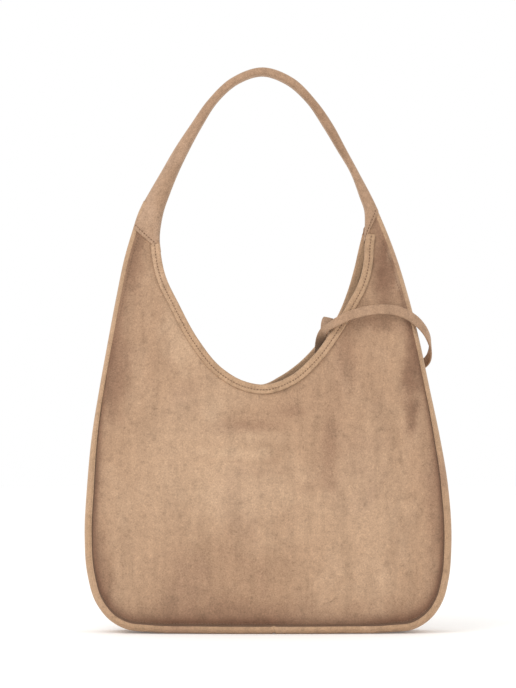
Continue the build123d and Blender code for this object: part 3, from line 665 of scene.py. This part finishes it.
def lining_panel(side, line, away, name, node):
    """One side of the lining. Gives back the line of its outer edge."""
    top = line + away * LINING_UNDER_EDGE
    keep = lining_outline[:, 1] < LINING_TOP
    outer = evenly(lining_outline[keep], ALONG)
    share = np.linspace(0, 1, LINING_ACROSS)[None, :, None]
    flat = outer[:, None, :] * (1 - share) + top[:, None, :] * share
    depth = face_depth(flat[..., 0], flat[..., 1]) - LINING_DEPTH
    points = np.stack([flat[..., 0], side * depth, flat[..., 1]], axis=2)
    obj = sheet_from_grid(name, points, LINING_CLOTH, flip=side > 0)
    obj.data.materials.append(lining_twill)
    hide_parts(node)
    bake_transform(obj)
    return outer


lined = lining_panel(-1, front_line, front_away, "front_lining_twill", "front_lining")
lining_panel(1, back_line, back_away, "back_lining_twill", "back_lining")
lining_half = face_depth(lined[:, 0], lined[:, 1]) - LINING_DEPTH
strip = np.stack([np.repeat(lined[:, :1], STRIP_ACROSS, axis=1),
                  lining_half[:, None] * np.linspace(-1, 1, STRIP_ACROSS),
                  np.repeat(lined[:, 1:], STRIP_ACROSS, axis=1)], axis=2)
lining_strip = sheet_from_grid("lining_gusset_twill", strip, LINING_CLOTH, flip=True)
lining_strip.data.materials.append(lining_twill)
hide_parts("lining_gusset")
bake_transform(lining_strip)
print("lining strip", round(distances(lined)[-1]), "mm long")

# %% [markdown]
# ## Strap
# The strap is the gusset carried on upwards: a band that curls over until it is nearly a tube. Above
# the wings it widens from front to back and thins from side to side, so it is drawn as one skin over
# changing cross-sections. Its lower ends close over the tips of the wings.

# %% Strap
STATIONS, ROUND = 300, 40
STRAP_HEIGHTS = [384, 396, 410, 430, 455, 480, 565]
STRAP_HALF_DEPTHS = [11.0, 11.6, 12.0, 13.4, 14.6, 15.0, 15.0]
# The power of its cross-section: 1 is an ellipse, and less is squarer.
SQUARE_HEIGHTS, SQUARE_POWERS = [384, 430, 480, 565], [0.95, 0.85, 0.62, 0.55]
# It stands out past the outlines, lies on the wings, and leaves them over this length.
STRAP_OUT, ON_WING, LEAVES_WING, WING_POWER = 0.7, 1.2, 42, 0.3
outside, inside = smooth_line(strap_outside, STATIONS), smooth_line(strap_inside, STATIONS)
height = (outside[:, 1] + inside[:, 1]) / 2
half_deep = np.interp(height, STRAP_HEIGHTS, STRAP_HALF_DEPTHS)
square = np.interp(height, SQUARE_HEIGHTS, SQUARE_POWERS)
angle = np.linspace(0, 2 * np.pi, ROUND, endpoint=False)
side_way = np.sign(np.cos(angle)) * np.abs(np.cos(angle))[None, :] ** square[:, None]
deep_way = np.sign(np.sin(angle)) * np.abs(np.sin(angle))[None, :] ** square[:, None]
centre, reach = (outside + inside) / 2, (outside - inside) / 2
reach = reach * (1 + STRAP_OUT / np.linalg.norm(reach, axis=1, keepdims=True))
strap_x = centre[:, None, 0] + reach[:, None, 0] * side_way
strap_z = centre[:, None, 1] + reach[:, None, 1] * side_way
# The lower ends lie flat on the wings, one thickness of suede outside them.
steps = np.arange(STATIONS) * np.linalg.norm(np.diff(outside, axis=0), axis=1).mean()
free = np.clip(np.minimum(steps, steps[-1] - steps) / LEAVES_WING, 0, 1)[:, None]
free = free * free * (3 - 2 * free)
on_wing = (face_depth(strap_x, strap_z) + ON_WING) * np.sign(deep_way) * np.abs(deep_way) ** WING_POWER
strap_y = free * half_deep[:, None] * deep_way + (1 - free) * on_wing
strap_grid = np.stack([strap_x, strap_y, strap_z], axis=2)
strap = new_object("strap_cover_suede", strap_grid.reshape(-1, 3), tube_faces(STATIONS, ROUND))
strap.data.materials.append(suede_strap)
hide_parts("strap_cover", "strap_join_left", "strap_join_right")
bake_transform(strap)
print("strap", round(distances(centre)[-1]), "mm along its middle")

# %% [markdown]
# Inside the strap are a felt roll that keeps it round, and a flat cotton tape along its underside that
# carries the load. Both start above the fold, so they turn with the strap as one.

# %% What is inside the strap
FILLING_FROM, FILLING_ROUND = 422, 20
high_enough = np.flatnonzero(height > FILLING_FROM)
above = slice(high_enough[0], high_enough[-1] + 1)


def strap_filling(name, node, finish, shift, wide, deep):
    """A smaller tube inside the strap, shifted towards its underside."""
    middle = centre[above] - reach[above] * shift
    turn = np.linspace(0, 2 * np.pi, FILLING_ROUND, endpoint=False)
    points = np.stack([middle[:, None, 0] + reach[above, None, 0] * wide * np.cos(turn),
                       half_deep[above, None] * deep * np.sin(turn),
                       middle[:, None, 1] + reach[above, None, 1] * wide * np.cos(turn)], axis=2)
    obj = new_object(name, points.reshape(-1, 3), tube_faces(*points.shape[:2]))
    obj.data.materials.append(finish)
    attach(obj, "strap")
    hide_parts(node)


strap_filling("strap_core_felt", "strap_core", padding_felt, shift=-0.10, wide=0.50, deep=0.62)
strap_filling("strap_tape_cotton", "strap_tape", cotton_tape, shift=0.60, wide=0.10, deep=0.40)
print("filling over", above.stop - above.start, "of the strap's", STATIONS, "sections")

# %% [markdown]
# ## Loose strap
# A flat strap, sewn double and about 9.5 mm wide, comes out of the mouth over the front edge, lies
# over the wing, goes round it and comes back over the rear edge. Its line is a smooth spline.

# %% Loose strap
tether_route = [
    (51.5, 12.9, 269.7), (51.2, 6.5, 277.5), (51.5, -4, 287), (53, -15.5, 296), (57.5, -28, 304),
    (66, -36, 309.5), (80, -37, 316.5), (96, -34, 321.5), (113, -31, 323.5),
    (130, -29, 322), (145, -26.5, 314.5),
    (156.5, -18, 303), (162.5, -5, 291), (163.5, 9, 280), (161, 23, 271), (151, 34, 264.5),
    (134, 39, 258), (117.5, 41, 256), (102, 42, 258), (88, 42, 264), (77, 41.5, 275),
    (70, 40, 288), (66, 38, 302), (62, 29.5, 315.5), (58.5, 18, 312.5), (57.2, 10, 300.5),
    (56.8, 6.5, 288.5), (56.6, 8.5, 278.5), (56.5, 12.9, 269.7)]
# The way the strap's flat face looks at some of those points.
tether_faces = {0: (0, -0.6, -0.8), 2: (0, -0.75, -0.6), 4: (-0.3, -0.75, 0.6), 6: (-0.15, -0.95, 0.28),
                9: (0.12, -0.99, 0.0), 11: (0.80, -0.58, 0.1), 13: (0.98, 0.15, 0.1), 15: (0.45, 0.88, 0),
                18: (0, 1, 0), 21: (0.1, 0.99, 0.1), 22: (0.1, 0.8, 0.6), 23: (0.1, 0.3, 0.95),
                24: (0.1, -0.6, 0.8), 25: (0.1, -0.98, 0.2), 28: (0, -0.6, -0.8)}
TETHER_WIDTH, TETHER_THICK = 9.5, 2.2
SPLINE_STEPS = 14


def spline_points(points):
    """Points along a smooth spline that the given points steer."""
    curve = bpy.data.curves.new("line", "CURVE")
    curve.dimensions = "3D"
    curve.resolution_u = SPLINE_STEPS
    line = curve.splines.new("NURBS")
    line.points.add(len(points) - 1)
    for knot, place in zip(line.points, points):
        knot.co = (*place, 1)
    line.order_u = 3
    line.use_endpoint_u = True
    holder = bpy.data.objects.new("line", curve)
    mesh = bpy.data.meshes.new_from_object(holder)
    found = np.array([v.co for v in mesh.vertices])
    bpy.data.objects.remove(holder)
    return found


tether_line = spline_points(tether_route)
at_route = np.linspace(0, len(tether_line) - 1, len(tether_route))
keys = sorted(tether_faces)
looks = np.array([tether_faces[k] for k in keys], float)
looks = values_at(looks, at_route[keys], np.arange(len(tether_line)))
way = np.gradient(tether_line, axis=0)
way /= np.linalg.norm(way, axis=1, keepdims=True)
looks -= way * np.sum(looks * way, axis=1, keepdims=True)
looks /= np.linalg.norm(looks, axis=1, keepdims=True)
wide = np.cross(way, looks)
# Half of the strap's section, as shares of its half width and its half thickness.
section = [(1.0, 0.0), (0.97, 0.6), (0.88, 0.95), (0.72, 0.85), (0.6, 1.0), (0.2, 1.05), (-0.2, 1.05),
           (-0.6, 1.0), (-0.72, 0.85), (-0.88, 0.95), (-0.97, 0.6)]
section += [(-a, -b) for a, b in section]
ring = np.array(section) * (TETHER_WIDTH / 2, TETHER_THICK / 2)
tether_grid = (tether_line[:, None, :] + wide[:, None, :] * ring[None, :, :1]
               + looks[:, None, :] * ring[None, :, 1:])
tether = new_object("tether_strap_suede", tether_grid.reshape(-1, 3), tube_faces(*tether_grid.shape[:2]))
tether.data.materials.append(suede_strap)
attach(tether, "bag")
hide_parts("tether_strap")

# %% [markdown]
# ## Stitches
# Stitches are real thread here: short rounded bars, 3.1 mm apart, partly sunk in the cloth. All the
# stitches of one seam are one piece.

# %% Stitches
PITCH, STITCH, THREAD_RADIUS, THREAD_LIFT, THREAD_SIDES = 3.1, 2.2, 0.42, 0.05, 6
# One stitch from end to end: each place along it, its thickness and its rise, as shares.
BAR = [(-0.5, 0.35, -0.5), (-0.36, 0.9, 0.0), (0.0, 1.1, 0.3), (0.36, 0.9, 0.0), (0.5, 0.35, -0.5)]
# Where the rows run: from the mouth's edge, from the seam, and how high the seam's row goes.
BINDING_ROW, BINDING_ROW_LIFT, SEAM_ROW, SEAM_ROW_TOP = 5.0, 1.0, 3.0, 398
FAR_FROM_MOUTH = 99.0
STRAP_ROW, STRAP_ROW_POINTS, STRAP_ROW_LIFT, STRAP_ROW_REACH = 3, 60, 0.1, 0.96


def stitch_mesh(name, line, side, ride_on=None):
    """Bars of thread along a line of points, standing a little proud of the cloth on one side."""
    outward = np.tile([0.0, side, 0.0], (len(line), 1))
    steps = distances(line)
    count = int(steps[-1] / PITCH)
    spots = (np.arange(count) + 0.5) * PITCH
    centre = values_at(line, steps, spots)
    up = values_at(outward, steps, spots)
    run = values_at(line, steps, spots + 0.5) - values_at(line, steps, spots - 0.5)
    run /= np.linalg.norm(run, axis=1, keepdims=True)
    up -= run * np.sum(up * run, axis=1, keepdims=True)
    up /= np.linalg.norm(up, axis=1, keepdims=True)
    over = np.cross(run, up)
    verts, faces = [], []
    turns = [(math.cos(a), math.sin(a)) for a in np.linspace(0, 2 * np.pi, THREAD_SIDES, endpoint=False)]
    for c, r, u, o in zip(centre, run, up, over):
        first = len(verts)
        for along, fat, lift in BAR:
            middle_point = c + r * along * STITCH + u * (THREAD_LIFT + lift * THREAD_RADIUS)
            verts += [middle_point + (o * a + u * b) * THREAD_RADIUS * fat for a, b in turns]
        faces += tube_faces(len(BAR), THREAD_SIDES, start=first)
    obj = new_object(name, np.array(verts), faces)
    obj.data.materials.append(thread)
    if ride_on:
        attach(obj, ride_on)
    else:
        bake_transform(obj)
    return count


total = 0
for side, line, away, shapes, name in ((-1, front_line, front_away, FRONT_SHAPE, "front"),
                                       (1, back_line, back_away, BACK_SHAPE, "back")):
    flat = line + away * BINDING_ROW
    depth = face_depth(flat[:, 0], flat[:, 1]) + BINDING_ROW_LIFT
    row = np.stack([flat[:, 0], side * depth, flat[:, 1]], axis=1)
    total += stitch_mesh(f"{name}_binding_stitches", row, side)
    flat = (seam + inwards * SEAM_ROW)[seam[:, 1] < SEAM_ROW_TOP]
    from_seam, from_mouth = np.full(len(flat), SEAM_ROW), np.full(len(flat), FAR_FROM_MOUTH)
    depth, _ = panel_face(flat[:, 0], flat[:, 1], shapes, from_seam, from_mouth)
    row = np.stack([flat[:, 0], side * depth, flat[:, 1]], axis=1)
    total += stitch_mesh(f"{name}_seam_stitches", row, side, ride_on="bag")
for section_number, end_name in ((STRAP_ROW, "left"), (STATIONS - 1 - STRAP_ROW, "right")):
    for side, side_name in ((-1, "front"), (1, "back")):
        chosen = (side * np.sin(angle) > 0) & (np.abs(np.cos(angle)) < STRAP_ROW_REACH)
        row = strap_grid[section_number, chosen] + np.array([0, side * STRAP_ROW_LIFT, 0])
        row = evenly(row[np.argsort(row[:, 0])], STRAP_ROW_POINTS)
        total += stitch_mesh(f"strap_{end_name}_{side_name}_stitches", row, side)
print(total, "stitches")

# %% [markdown]
# ## Light and floor
# A pale floor, an even white sky, a broad lamp above and in front on the left, and a weaker one on the
# right, so that the bag has only a faint shadow under it.

# %% Studio
FLOOR = 4000.0
LAMP_AIM = Vector((0, 0, 0.25))
floor_points = [(-FLOOR, -FLOOR, 0), (FLOOR, -FLOOR, 0), (FLOOR, FLOOR, 0), (-FLOOR, FLOOR, 0)]
floor = new_object("floor", floor_points, [(0, 1, 2, 3)], smooth=False)
floor_material, _, floor_shader = start_material("pale_floor", Roughness=0.9, Specular_IOR_Level=0.1)
floor_shader.inputs["Base Color"].default_value = linear("#F7F6F4")
floor_shader.inputs["Emission Color"].default_value = linear("#FFFFFF")
floor_shader.inputs["Emission Strength"].default_value = 0.10
floor.data.materials.append(floor_material)

world = bpy.data.worlds.new("studio")
bpy.context.scene.world = world
world.use_nodes = True
world.node_tree.nodes["Background"].inputs["Color"].default_value = linear("#FFFFFF")
world.node_tree.nodes["Background"].inputs["Strength"].default_value = 1.0


def lamp(name, place, size, power):
    """A round soft lamp that points at the bag. Its place and size are in metres, its power in watts."""
    data = bpy.data.lights.new(name, "AREA")
    data.shape, data.size, data.energy = "DISK", size, power
    obj = bpy.data.objects.new(name, data)
    obj.location = place
    obj.rotation_euler = (LAMP_AIM - Vector(place)).to_track_quat("-Z", "Y").to_euler()
    bpy.context.scene.collection.objects.link(obj)


lamp("key", place=(-1.0, -1.5, 2.0), size=1.8, power=20)
lamp("fill", place=(1.6, -1.4, 1.0), size=1.4, power=4)
bpy.context.scene.view_settings.view_transform = "Standard"
